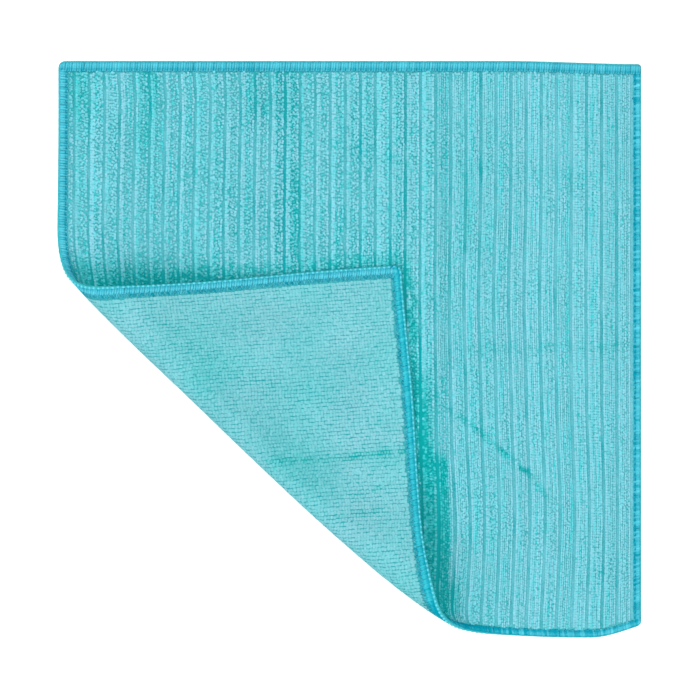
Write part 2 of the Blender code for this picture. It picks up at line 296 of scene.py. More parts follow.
# The finer back face: flat stitches in rows
BACK_BASE = 0.00030  # height of the knit behind the stitches, which reach down to about 0
BACK_COURSE = 0.00160
BACK_HALF_LENGTH = 0.00120
BACK_HALF_WIDTH = 0.00100
BACK_HALF_HEIGHT = 0.00020
BACK_ARCH = 0.00005
STITCH_FOOT_SHADE = 0.55  # painted shade: how much darker a stitch's feet are than its top
BACK_DEEPER = 2.5  # how much more so for each step of painted shade from a crease or patch
BACK_TONE = 0.63
BACK_CREASE_MEAN = 0.90
BACK_WALES = (-3, 140)  # from the first wale to past the last, counted from the first groove
BAND_OVERLAP = 0.0005  # how far the first stitches reach under the band
BAND_GAP = 0.0004  # from the band to the first wale
BETWEEN_TONE = 0.12  # the knit between the stitches, dark as painted shade of the gaps, and how much more painted shade it takes in a crease
BETWEEN_SHADE = 0.5
UNSEEN_TONE = 0.50  # the back face on the floor, and how far short of the fold that starts
UNSEEN_FROM = 0.004
BACK_SHOULDER = 0.0012  # from the band's back to the knit's, and how far inside the band that starts
BACK_SHOULDER_START = 0.0004
BACK_RINGS = 5
BACK_TAPER = 0.55
PARTED = 0.75  # how much narrower the stitches are for each step of a crease's depth
CREASE_SHARE = 0.55  # share of a crease's painted shade that the stitches take on

# Overlock stitches
STITCH_PITCH = 0.0026
STRAND_HALF_WIDTH = 0.00086
STRAND_HALF_HEIGHT = 0.00014
BACK_UNEVEN = 0.07  # how uneven the strands' tone is on the back
STRAND_APART = 0.25  # a strand from its stitch's middle, as a share of the pitch
NEEDLE_APART = 0.19  # the same at its two ends
STRAND_SLANT = 0.0006  # how far it runs along the side between an end and the edge
BACK_SLANT = 0.0006  # and how much further on the back
STRAND_CURVE = 2.2  # how quickly a strand's own bend turns back towards its ends
STRAND_TAPER = 0.55
END_LIFT = 0.0002  # the top's and bottom's threads lie this far over those of the other two sides,
LIFTED_ABOVE = 0.0012  # where they are higher than this

# The small threads of the seam: points along each, and their sizes
BEAD_RINGS = 6
BEAD_TAPER = 0.6
BEAD_CURVE = 0.00030  # how far a bead's ends lie in from its middle
BEAD_SLOPE = 0.00016  # rise from its middle to one end
SCALLOP_RINGS = 5
SCALLOP_START = 0.0041  # from the edge to the foot of an inner loop
SCALLOP_APART = 0.44  # the foot from the stitch's middle, in pitches, and how much nearer the tip is
SCALLOP_CLOSING = 0.34
SCALLOP_HEIGHT = 0.00034
SCALLOP_RISE = 0.00012  # how much higher the foot and the tip are than the middle between them
SCALLOP_HALF_WIDTH = 0.00050
SCALLOP_TONE = 0.28
NEEDLE_RINGS = 4
NEEDLE_REACH = 0.40  # half the length of a needle stitch, as a share of the pitch
NEEDLE_HEIGHT = 0.00240
NEEDLE_ARCH = 0.00016
NEEDLE_HALF_WIDTH = 0.00036
NEEDLE_TONE = -0.02
THREAD_TAPER = 0.5

# Rows of points of the sheet itself: close where the fold crosses them, sparse above it
CLOSE_ROW_PITCH = 0.0026
SPARSE_ROW_PITCH = 0.0030
CLOSE_ROWS_TOP = 0.062  # Y where the close rows end

# Camera, straight above
CAMERA_HEIGHT = 2.0
FRAME_WIDTH = 0.3596  # width of the picture at the cloth
SENSOR = 36.0
VIEW_CENTRE = (0.00051, -0.00039)


def column(table, name):
    """One column of a table as an array."""
    return np.array([getattr(row, name) for row in table])


def vary(rng, name, size):
    """Random numbers about 0, as far apart as SPREAD says."""
    return rng.normal(0.0, SPREAD[name], size)


def pick(rng, name, size):
    """Random numbers spread evenly over a range of RANGE."""
    return rng.uniform(*RANGE[name], size)


def swell(t, taper):
    """Thickness along a thread or loop, 1 in its middle and less at its ends."""
    return np.sqrt(np.clip(1.0 - taper * t ** 2, 0.0, 1.0))


def smooth_step(t):
    """0 below 0 and 1 above 1, with an eased rise between."""
    t = np.clip(t, 0.0, 1.0)
    return t * t * (3.0 - 2.0 * t)


def loop_turn(t):
    """Share of the loop's turn made at a share t of its length: nearly even, eased at both ends."""
    t = np.clip(t, 0.0, 1.0)
    return t - LOOP_EASE * np.sin(2.0 * math.pi * t) / (2.0 * math.pi)


def along_fold(name, along):
    """One value of FOLD at distances along the fold, on a smooth curve through its rows."""
    stations, values = column(FOLD, "along"), column(FOLD, name)
    slopes = np.gradient(values, stations)
    along = np.clip(along, stations[0], stations[-1])
    low = np.clip(np.searchsorted(stations, along) - 1, 0, len(stations) - 2)
    span = stations[low + 1] - stations[low]
    t = (along - stations[low]) / span
    blend = smooth_step(t)
    rise = slopes[low] * span * t * (1.0 - t) ** 2
    fall = slopes[low + 1] * span * t * t * (1.0 - t)
    return values[low] * (1.0 - blend) + values[low + 1] * blend + rise - fall


class Fold:
    """Sections of the fold, each the middle line of the sheet as it turns over and settles."""

    def __init__(self):
        self.stations = np.linspace(FOLD[0].along, FOLD[-1].along, FOLD_STEPS)
        radius = along_fold("radius", self.stations)[:, None]
        turn = math.pi + DESCENT
        part = (np.arange(MEAN_STEPS) + 0.5) / MEAN_STEPS
        top = radius * turn * np.mean(np.sin(turn * loop_turn(part)))
        settle_share = np.mean(np.sin(DESCENT * (1.0 - smooth_step(part))))
        bend_length = radius * turn
        settle_length = (top - THICKNESS - LAYER_GAP) / settle_share
        arc = np.arange(0.0, ARC_LENGTH, ARC_STEP) + ARC_STEP / 2
        slope = turn * loop_turn(arc / bend_length)
        slope = slope - DESCENT * smooth_step((arc - bend_length) / settle_length)
        start = np.zeros((FOLD_STEPS, 1))
        self.out = np.hstack((start, np.cumsum(np.cos(slope), axis=1) * ARC_STEP))
        self.up = np.hstack((start, np.cumsum(np.sin(slope), axis=1) * ARC_STEP))
        self.slope = np.hstack((start, slope))
        self.bend_length = bend_length[:, 0]
        loop_reach = self.out.max(axis=1) + THICKNESS / 2
        self.start = along_fold("reach", self.stations) - loop_reach

    def read(self, table, along, arc):
        """A table's value at distances along the fold and round it, interpolated both ways."""
        row = (along - self.stations[0]) / (self.stations[1] - self.stations[0])
        row = np.clip(row, 0.0, len(self.stations) - LAST_INDEX)
        step = np.clip(arc / ARC_STEP, 0.0, table.shape[1] - LAST_INDEX)
        i, j = row.astype(int), step.astype(int)
        u, v = row - i, step - j
        near = table[i, j] * (1.0 - v) + table[i, j + 1] * v
        far = table[i + 1, j] * (1.0 - v) + table[i + 1, j + 1] * v
        return near * (1.0 - u) + far * u

    def carry(self, flat):
        """Flat points (x, y, height above the back face) carried round the fold."""
        along = flat[:, :2] @ ALONG
        start = np.interp(along, self.stations, self.start)
        arc = flat[:, :2] @ ACROSS - start
        turned = np.maximum(arc, 0.0)
        slope = np.where(arc > 0.0, self.read(self.slope, along, turned), 0.0)
        lift = flat[:, 2] - THICKNESS / 2
        out = start + np.minimum(arc, 0.0) + self.read(self.out, along, turned) - np.sin(slope) * lift
        up = THICKNESS / 2 + self.read(self.up, along, turned) + np.cos(slope) * lift
        plan = np.outer(along, ALONG) + np.outer(out, ACROSS)
        return np.column_stack((plan, up))

    def arc_of(self, x, y):
        """Distance along the fold, where it starts there, the distance past that and the loop's length."""
        flat = np.column_stack((x, y))
        along = flat @ ALONG
        start = np.interp(along, self.stations, self.start)
        return along, start, flat @ ACROSS - start, np.interp(along, self.stations, self.bend_length)

    def hidden(self, x, y):
        """True where the ribbed face lies against itself, far enough in for nothing to show."""
        along, start, arc, bend = self.arc_of(x, y)
        last_out = np.interp(along, self.stations, self.out[:, -1])
        above = np.where(arc > bend, arc, ARC_LENGTH + last_out - arc)
        top = np.outer(along, ALONG) + np.outer(start + above, ACROSS)
        inside = np.minimum(top[:, 0] + WIDTH / 2, top[:, 1] + LENGTH / 2)
        past_loop = (arc > bend) | (arc < 0.0)
        return past_loop & (above > bend) & (inside > COVER_MARGIN)


FOLDED = Fold()


def round_corner(x, y, name):
    """Points in a square corner moved onto rings of its round one."""
    radius = CORNER_RADIUS[name]
    side_x = -1.0 if name.endswith("left") else 1.0
    side_y = -1.0 if name.startswith("bottom") else 1.0
    centre_x = side_x * (WIDTH / 2 - radius)
    centre_y = side_y * (LENGTH / 2 - radius)
    off_x, off_y = (x - centre_x) * side_x, (y - centre_y) * side_y
    inside = (off_x > 0.0) & (off_y > 0.0)
    distance = np.where(inside, np.hypot(off_x, off_y), 1.0)
    pull = np.where(inside, np.maximum(off_x, off_y) / distance, 1.0)
    x = np.where(inside, centre_x + side_x * off_x * pull, x)
    y = np.where(inside, centre_y + side_y * off_y * pull, y)
    return x, y


def uneven_outline(x, y):
    """The cut's own unevenness: round corners, and edges drawn in here and there."""
    for name in CORNER_RADIUS:
        x, y = round_corner(x, y, name)
    inward_x, inward_y = np.zeros_like(x), np.zeros_like(y)
    for draw in EDGE_DRAWS:
        run = y if draw.edge == "left" else x
        from_edge = {"top": LENGTH / 2 - y, "bottom": LENGTH / 2 + y, "left": WIDTH / 2 + x}[draw.edge]
        share = smooth_step((run - draw.none_at) / (draw.all_at - draw.none_at))
        inward = draw.depth * share * smooth_step(1.0 - from_edge / draw.fade)
        if draw.edge == "left":
            inward_x += inward
        else:
            inward_y += -inward if draw.edge == "top" else inward
    return x + inward_x, y + inward_y


def distance_from_edge(x, y):
    return np.minimum(WIDTH / 2 - np.abs(x), LENGTH / 2 - np.abs(y))


def band_inward(x, y):
    """Distance in from the edge, scaled so that RIM_WIDTH is the band's inner line on every side."""
    shares = (
        (WIDTH / 2 + x) / BANDS["left"].width, (WIDTH / 2 - x) / BANDS["right"].width,
        (LENGTH / 2 + y) / BANDS["bottom"].width, (LENGTH / 2 - y) / BANDS["top"].width,
    )
    return RIM_WIDTH * np.minimum.reduce(shares)


def sway(x, y):
    """How far the ribs are pushed sideways at a point of the cloth."""
    shift = np.zeros_like(x)
    for patch in SWAYS:
        away = ((x - patch.x) / patch.spread_x) ** 2 + ((y - patch.y) / patch.spread_y) ** 2
        shift += patch.shift * np.exp(-SWAY_FALL * away)
    return shift * smooth_step((distance_from_edge(x, y) - RIM_WIDTH) / SWAY_FADE)


def place(flat):
    """Flat points, as the knit lies unstretched, put where they are on the folded cloth."""
    x, y = uneven_outline(flat[:, 0] + sway(flat[:, 0], flat[:, 1]), flat[:, 1])
    return FOLDED.carry(np.column_stack((x, y, flat[:, 2])))


def crease_share(x, y, crease):
    """1 on the line of a crease or of a painted shadow, fading to 0 at its half width."""
    start, end = np.array(crease.start), np.array(crease.end)
    run = end - start
    point = np.column_stack((x, y)) - start
    t = np.clip(point @ run / (run @ run), 0.0, 1.0)
    away = np.linalg.norm(point - np.outer(t, run), axis=1)
    return smooth_step(1.0 - away / crease.half_width)


def crease_value(x, y, creases, name):
    """One value of a table of creases and painted shadows at points, faded to 0 beside each line."""
    return np.max([getattr(crease, name) * crease_share(x, y, crease) for crease in creases], axis=0)


def drift(x, y, name):
    """One of DRIFTS over the cloth, from about -1 to 1 times its amount."""
    field = DRIFTS[name]
    rng = np.random.default_rng(SEED + field.seed)
    total = np.zeros_like(x)
    for number in range(DRIFT_WAVES):
        angle, phase = rng.uniform(0.0, 2.0 * math.pi, 2)
        wave = rng.uniform(*WAVE_SIZES) * 2.0 * math.pi / field.scale
        total += np.sin(wave * (field.stretch * x * math.cos(angle) + y * math.sin(angle)) + phase)
    return field.amount * (total * 2.0 / DRIFT_WAVES)


def nap_light_and_shade_tone(x, y, soft_patches):
    """How much the patches of turned pile and of painted light and shade change the tone."""
    tone = np.zeros_like(x)
    for soft_patch in soft_patches:
        across = np.minimum((x - soft_patch.left) / soft_patch.fade_left, (soft_patch.right - x) / soft_patch.fade_right)
        along = np.minimum(y - soft_patch.bottom, soft_patch.top - y) / soft_patch.fade_y
        tone += soft_patch.tone * smooth_step(0.5 + 0.5 * across) * smooth_step(0.5 + 0.5 * along)
    return tone


def on_flap(x, y):
    """World X and Y of flat points, and 1 where they are past the roll, on the folded corner."""
    placed = place(np.column_stack((x, y, np.zeros_like(x))))
    _, _, arc, bend = FOLDED.arc_of(x, y)
    return placed[:, 0], placed[:, 1], smooth_step(2.0 * arc / bend - 1.0)


def flap_crease_value(x, y, name):
    """One value of FLAP_CREASES_AND_SHADE at flat points."""
    world_x, world_y, share = on_flap(x, y)
    return share * crease_value(world_x, world_y, FLAP_CREASES_AND_SHADE, name)


def to_groove(x):
    """Distance to the nearest groove between ribs."""
    x = x + WIDTH / 2 - FIRST_GROOVE
    return np.abs(x - RIB_PITCH * np.clip(np.round(x / RIB_PITCH), 0, GROOVES - 1))


def make_mesh(name, points, triangles, tone, vivid, smooth=True):
    """A mesh object from arrays, with a tone and a vividness; smooth may be given for each face."""
    mesh = bpy.data.meshes.new(name)
    mesh.vertices.add(len(points))
    mesh.vertices.foreach_set("co", points.astype(np.float32).ravel())
    mesh.loops.add(triangles.size)
    mesh.loops.foreach_set("vertex_index", triangles.astype(np.int32).ravel())
    mesh.polygons.add(len(triangles))
    mesh.polygons.foreach_set("loop_start", np.arange(0, triangles.size, 3, dtype=np.int32))
    mesh.polygons.foreach_set("use_smooth", np.broadcast_to(smooth, len(triangles)).copy())
    mesh.update(calc_edges=True)
    for attribute_name, values in (("tone", tone), ("vivid", vivid)):
        attribute = mesh.attributes.new(attribute_name, "FLOAT", "POINT")
        attribute.data.foreach_set("value", np.broadcast_to(values, len(points)).astype(np.float32))
    thing = bpy.data.objects.new(name, mesh)
    bpy.context.scene.collection.objects.link(thing)
    return thing


# Cross-sections of yarn and thread: shares of the half width and the half height at each corner
PILE_YARN = ((1.0, -1.5), (0.22, 1.0), (-0.22, 1.0), (-1.0, -1.5))
BACK_YARN = ((1.0, -1.2), (0.45, 1.0), (-0.45, 1.0), (-1.0, -1.2))
ROUND_THREAD = ((1.0, 0.0), (0.0, 1.0), (-1.0, 0.0), (0.0, -1.0))
FLAT_THREAD = ((1.0, -0.3), (0.6, 0.8), (-0.6, 0.8), (-1.0, -0.3), (0.0, -1.0))


def tube_faces(rings, sides):
    """Triangles of one closed tube: a tip, rings of points and another tip.

    The faces from each ring's last corner to its first come last, as the tube's underside.
    """
    faces = []
    around = np.arange(sides)
    following = (around + 1) % sides
    inner = rings - 2
    for number in range(inner - 1):
        low, high = 1 + number * sides, 1 + (number + 1) * sides
        faces.append(np.column_stack((low + around, low + following, high + following)))
        faces.append(np.column_stack((low + around, high + following, high + around)))
    last = 1 + (inner - 1) * sides
    faces.append(np.column_stack((np.zeros(sides, int), 1 + following, 1 + around)))
    faces.append(np.column_stack((last + around, last + following, np.full(sides, 1 + inner * sides))))
    by_side = np.stack(faces, axis=1)
    return by_side.reshape(-1, 3)


def tubes(centres, side, half_width, half_height, section):
    """Points and triangles of many closed tubes.

    centres holds a line of points for each tube, its tips first and last; side is the direction
    of each tube's width, and the half sizes scale its cross-section at each point.
    """
    count, rings = centres.shape[:2]
    run = np.gradient(centres, axis=1)
    normal = np.cross(run, side)
    normal /= np.linalg.norm(normal, axis=2, keepdims=True)
    share_across, share_up = np.array(section).T
    inner = slice(1, rings - 1)
    across = side[:, inner, None, :] * (half_width[:, inner, None] * share_across)[..., None]
    rise = normal[:, inner, None, :] * (half_height[:, inner, None] * share_up)[..., None]
    ring_points = (centres[:, inner, None, :] + across + rise).reshape(count, -1, 3)
    points = np.concatenate((centres[:, :1], ring_points, centres[:, -1:]), axis=1)
    each = points.shape[1]
    triangles = tube_faces(rings, len(section))[None] + (np.arange(count) * each)[:, None, None]
    return points.reshape(-1, 3), triangles.reshape(-1, 3), each


def arches(x, y, top, turn, half_length, half_width, half_height, arch, rings, section, taper):
    """Short arches of yarn at points of the cloth, each turned in its plane and thinner at its ends."""
    t = np.linspace(-1.0, 1.0, rings)
    reach = half_length[:, None] * t
    centres = np.empty((len(x), rings, 3))
    centres[..., 0] = x[:, None] + np.sin(turn)[:, None] * reach
    centres[..., 1] = y[:, None] + np.cos(turn)[:, None] * reach
    centres[..., 2] = (top - half_height)[:, None] - arch[:, None] * t ** 2
    side = np.zeros_like(centres)
    side[..., 0] = np.cos(turn)[:, None]
    side[..., 1] = -np.sin(turn)[:, None]
    thick = swell(t, taper)
    return tubes(centres, side, half_width[:, None] * thick, half_height[:, None] * thick, section)


# ---- the sheet


# Lines of points across the band, as shares of its width
RIM_STEPS = (0.0, 0.1, 0.2, 0.33, 0.5, 0.7, 1.0)


def sheet_columns():
    """X of each line of points: the rims, and six lines to each rib."""
    steps = np.array((0.0, GROOVE_HALF_WIDTH, WALE_PITCH, 2.0 * WALE_PITCH, 3.0 * WALE_PITCH,
                      RIB_PITCH - GROOVE_HALF_WIDTH))
    grooves = FIRST_GROOVE + np.arange(GROOVES - 1) * RIB_PITCH
    ribs = (grooves[:, None] + steps).ravel()
    last = FIRST_GROOVE + (GROOVES - 1) * RIB_PITCH
    rim = [share * RIM_WIDTH for share in RIM_STEPS]
    left = rim + [FIRST_GROOVE - WALE_PITCH / 2]
    right = [WIDTH - distance * BANDS["right"].width / RIM_WIDTH for distance in reversed(rim)]
    return np.concatenate((left, ribs, [last, last + GROOVE_HALF_WIDTH], right)) - WIDTH / 2


def sheet_rows():
    """Y of each line of points, from the bottom edge up."""
    low, high = RIM_WIDTH - LENGTH / 2, LENGTH / 2 - RIM_WIDTH
    close = np.linspace(low, CLOSE_ROWS_TOP, round((CLOSE_ROWS_TOP - low) / CLOSE_ROW_PITCH) + 1)
    sparse = np.linspace(CLOSE_ROWS_TOP, high, round((high - CLOSE_ROWS_TOP) / SPARSE_ROW_PITCH) + 1)
    rim = np.array(RIM_STEPS[:-1]) * RIM_WIDTH - LENGTH / 2
    return np.concatenate((rim, close, sparse[1:], -rim[::-1]))


def rim_share(x, y):
    """0 at the edge, 1 at the band's full height."""
    return swell(1.0 - np.clip(distance_from_edge(x, y) / RIM_SHOULDER, 0.0, 1.0), 1.0)


def front_of_sheet(x, y):
    groove = smooth_step(1.0 - to_groove(x) / (GROOVE_FLARE * GROOVE_HALF_WIDTH))
    pile = PILE_BASE - (PILE_BASE - GROOVE_FLOOR) * groove - crease_value(x, y, CREASES_AND_SHADOWS, "depth")
    rim = EDGE_HEIGHT + (RIM_HEIGHT - EDGE_HEIGHT) * rim_share(x, y)
    share = smooth_step((band_inward(x, y) - 0.5 * RIM_WIDTH) / (0.5 * RIM_WIDTH))
    return rim + (pile - rim) * share


def back_of_sheet(x, y):
    rim = EDGE_HEIGHT - (EDGE_HEIGHT - RIM_BACK) * rim_share(x, y)
    share = smooth_step((distance_from_edge(x, y) - BACK_RIM_WIDTH + BACK_SHOULDER_START) / BACK_SHOULDER)
    return rim + (BACK_BASE + flap_crease_value(x, y, "depth") - rim) * share


def deepening(x, y, jitter=0.0):
    """How much painted shade darkens the front's tone at flat points: in the creases, beside the flap's edges
    and in the patches, some of which are darker nap of the pile itself.
    """
    uneven = CREASE_MEAN + drift(x, y, "crease") + jitter
    return crease_value(x, y, CREASES_AND_SHADOWS, "shade") * uneven - nap_light_and_shade_tone(x, y, NAPS_AND_SHADOWS) * (1.0 + SPECKLE * jitter)


def ground_tone(x, y):
    """Tone of the knit between the loops, dark as painted shade of the pile's gaps: each groove has its own,
    lighter towards the right, with the painted shade of creases and patches on top.
    """
    rng = np.random.default_rng(SEED + 30)
    groove = np.clip(np.round((x + WIDTH / 2 - FIRST_GROOVE) / RIB_PITCH), 0, GROOVES - 1).astype(int)
    tone = GROUND_TONE + vary(rng, "groove_tone", GROOVES)[groove] + drift(x, y, "ground")
    tone = tone + drift(x, y, "ground_fine") + GROUND_LIGHTER * smooth_step((x - LIGHTER_FROM) / LIGHTER_OVER)
    return tone - deepening(x, y)


def make_panel():
    """The knitted sheet as one closed mesh: a front grid, a back grid and the edge between."""
    column_x, row_y = sheet_columns(), sheet_rows()
    across, down = len(column_x), len(row_y)
    x, y = (grid.ravel() for grid in np.meshgrid(column_x, row_y))
    front = np.column_stack((x, y, front_of_sheet(x, y)))
    back = np.column_stack((x, y, back_of_sheet(x, y)))
    number = np.arange(across * down).reshape(down, across)
    border = np.concatenate((number[0, :-1], number[:-1, -1], number[-1, :0:-1], number[:0:-1, 0]))
    is_border = np.zeros(across * down, dtype=bool)
    is_border[border] = True
    # The two faces share the points of the edge
    back_number = np.where(is_border, number.ravel(), 0)
    back_number[~is_border] = across * down + np.arange((~is_border).sum())
    back_number = back_number.reshape(down, across)

    def grid_faces(grid):
        a, b, c, d = grid[:-1, :-1], grid[:-1, 1:], grid[1:, 1:], grid[1:, :-1]
        upper = np.stack((a, b, d), axis=-1).reshape(-1, 3)
        lower = np.stack((b, c, d), axis=-1).reshape(-1, 3)
        return np.concatenate((upper, lower))

    points = np.concatenate((front, back[~is_border]))
    triangles = np.concatenate((grid_faces(number), grid_faces(back_number)[:, ::-1]))
    x, y = points[:, 0], points[:, 1]
    on_front = np.arange(len(points)) < len(front)
    _, _, arc, _ = FOLDED.arc_of(x, y)
    # Painted shade: the knit between the loops and between the back's stitches is dark, darker and more vivid
    # still in the creases, the patches and beside the flap's edges
    flap_shade = flap_crease_value(x, y, "shade")
    back_tone = np.where(arc > -UNSEEN_FROM, BETWEEN_TONE - BETWEEN_SHADE * flap_shade, UNSEEN_TONE)
    tone = np.where(on_front, ground_tone(x, y), back_tone)
    vivid = GROUND_VIVID + SHADE_VIVID * np.where(on_front, deepening(x, y), flap_shade)
    inward = np.where(on_front, band_inward(x, y), distance_from_edge(x, y))
    at_edge, at_band = inward < EDGE_SHARE * RIM_WIDTH, inward < RIM_WIDTH
    tone = np.where(at_edge, RIM_TONE, np.where(at_band, INNER_TONE, tone))
    vivid = np.where(at_edge, RIM_VIVID, np.where(at_band, INNER_VIVID, vivid))
    return make_mesh("cloth_panel", place(points), triangles, tone, vivid)


# ---- the pile


def make_front_pile():
    """Loops on the ribbed face, row by row, left out where the cloth lies against itself."""
    rng = np.random.default_rng(SEED)
    rib_x = FIRST_GROOVE + np.arange(-1, GROOVES) * RIB_PITCH - WIDTH / 2
    ribs, kinds = len(rib_x), len(RIB_ROWS)
    row_x = (rib_x[:, None] + column(RIB_ROWS, "share") * RIB_PITCH).ravel()
    kind = np.tile(np.arange(kinds), ribs)
    breadth = np.repeat(1.0 + vary(rng, "rib_breadth", ribs), kinds)
    row_tone = np.repeat(vary(rng, "rib_tone", ribs), kinds) + vary(rng, "row_tone", len(row_x))
    row_vivid = vary(rng, "row_vivid", len(row_x))
    inside = band_inward(row_x, np.zeros_like(row_x)) > RIM_WIDTH + ROW_CLEARANCE
    row_x, kind, breadth = row_x[inside], kind[inside], breadth[inside]
    row_tone, row_vivid = row_tone[inside], row_vivid[inside]
    courses = int(LENGTH / LOOP_COURSE)
    number, course = (grid.ravel() for grid in np.meshgrid(np.arange(len(row_x)), np.arange(courses)))
    x = row_x[number]
    y = (course + rng.uniform(0.0, 1.0, len(row_x))[number]) * LOOP_COURSE - LENGTH / 2
    # A rib ends in a round tip at the band, its outer rows first
    across = 2.0 * column(RIB_ROWS, "share")[kind[number]] - 1.0
    tip = ROUND_END * across ** 2 + vary(rng, "rib_end", len(x))
    band_width = np.where(y > 0.0, BANDS["top"].width, BANDS["bottom"].width)
    from_tip = LENGTH / 2 - np.abs(y) - band_width - tip
    kept = ~FOLDED.hidden(*uneven_outline(x, y)) & (band_inward(x, y) > RIM_WIDTH) & (from_tip > 0.0)
    x, y, number, course = x[kept], y[kept], number[kept], course[kept]
    count = len(x)
    row_width, lighter, row_loose = (
        column(RIB_ROWS, name)[kind[number]] for name in ("half_width", "tone", "loose")
    )
    # The pile is loose on the left and combed on the right
    place_loose = LOOSE_MEAN - LOOSE_FALL * np.tanh((x - LOOSE_MIDDLE) / LOOSE_OVER) + drift(x, y, "loose")
    loose = np.clip(place_loose, LEAST_LOOSE, 1.0) * row_loose
    tone = PILE_TONE + row_tone[number] + lighter
    # Painted shade of the creases, of the flap's edges and of the patches, uneven from stitch to stitch
    tone = tone - deepening(x, y, rng.uniform(-1.0, 1.0, count))
    tone = tone + drift(x, y, "loop_tone") + drift(x, y, "row_tone")
    tone = tone + (EVEN_TONE + LOOSE_TONE * loose) * rng.normal(0.0, 1.0, count)
    # More vivid in the painted shade
    vivid = PLAIN_VIVID + row_vivid[number] - ROW_VIVID * lighter + SHADE_VIVID * deepening(x, y)
    vivid = vivid + drift(x, y, "loop_vivid") + vary(rng, "loop_vivid", count)
    x = x + vary(rng, "loop_x", count) * loose + drift(x, y, "row_x")
    y = y + vary(rng, "loop_y", count) * (LEAST_STRAY + loose)
    fallen = rng.uniform(0.0, 1.0, count) < FALLEN_LOOPS * loose
    sunk = crease_value(x, y, CREASES_AND_SHADOWS, "depth")
    top = LOOP_TOP - sunk + vary(rng, "loop_top", count) * loose - FALLEN_DEPTH * fallen
    turn = (ZIGZAG * np.where(course % 2, 1.0, -1.0) + vary(rng, "loop_turn", count)) * loose
    size = pick(rng, "loop_size", count)
    half_width = row_width * breadth[number] * pick(rng, "loop_width", count)
    half_width = half_width * (COMBED_WIDTH + (1.0 - COMBED_WIDTH) * np.clip(place_loose, 0.0, 1.0))
    half_length = LOOP_HALF_LENGTH * size * (COMBED_LENGTH + (1.0 - COMBED_LENGTH) * np.minimum(loose, 1.0))
    arch = LOOP_ARCH * pick(rng, "loop_arch", count) * (COMBED_ARCH + (1.0 - COMBED_ARCH) * loose)
    points, triangles, each = arches(
        x, y, top, turn, half_length, half_width, LOOP_HALF_HEIGHT * size, arch,
        LOOP_RINGS, PILE_YARN, LOOP_TAPER,
    )
    # Painted shade: each loop darker towards its feet, and the dropped loops darker and more vivid
    depth = (np.repeat(top, each) - points[:, 2]) / (2.0 * LOOP_HALF_HEIGHT)
    tone = np.repeat(tone - FALLEN_SHADE * fallen, each) - LOOP_FOOT_SHADE * depth
    vivid = np.repeat(np.maximum(vivid + FALLEN_VIVID * fallen, LEAST_VIVID), each)
    return split_piles("front_pile", points, triangles, tone, vivid, each)


def split_piles(name, points, triangles, tone, vivid, each):
    """The pile as several joined meshes, each under the limit of triangles."""
    placed = place(points)
    loops = len(points) // each
    faces_each = len(triangles) // loops
    pieces = math.ceil(len(triangles) / LOOP_TRIANGLES)
    bounds = np.linspace(0, loops, pieces + 1).astype(int)
    # The undersides are flat, so that they don't bend the shading of the sides that show
    smooth = np.arange(faces_each) < faces_each * (1.0 - 1.0 / len(PILE_YARN))
    made = []
    for number, (low, high) in enumerate(zip(bounds[:-1], bounds[1:]), 1):
        part = slice(low * each, high * each)
        faces = triangles[low * faces_each:high * faces_each] - low * each
        flags = np.tile(smooth, high - low)
        made.append(make_mesh(f"{name}_{number}", placed[part], faces, tone[part], vivid[part], flags))
    return made


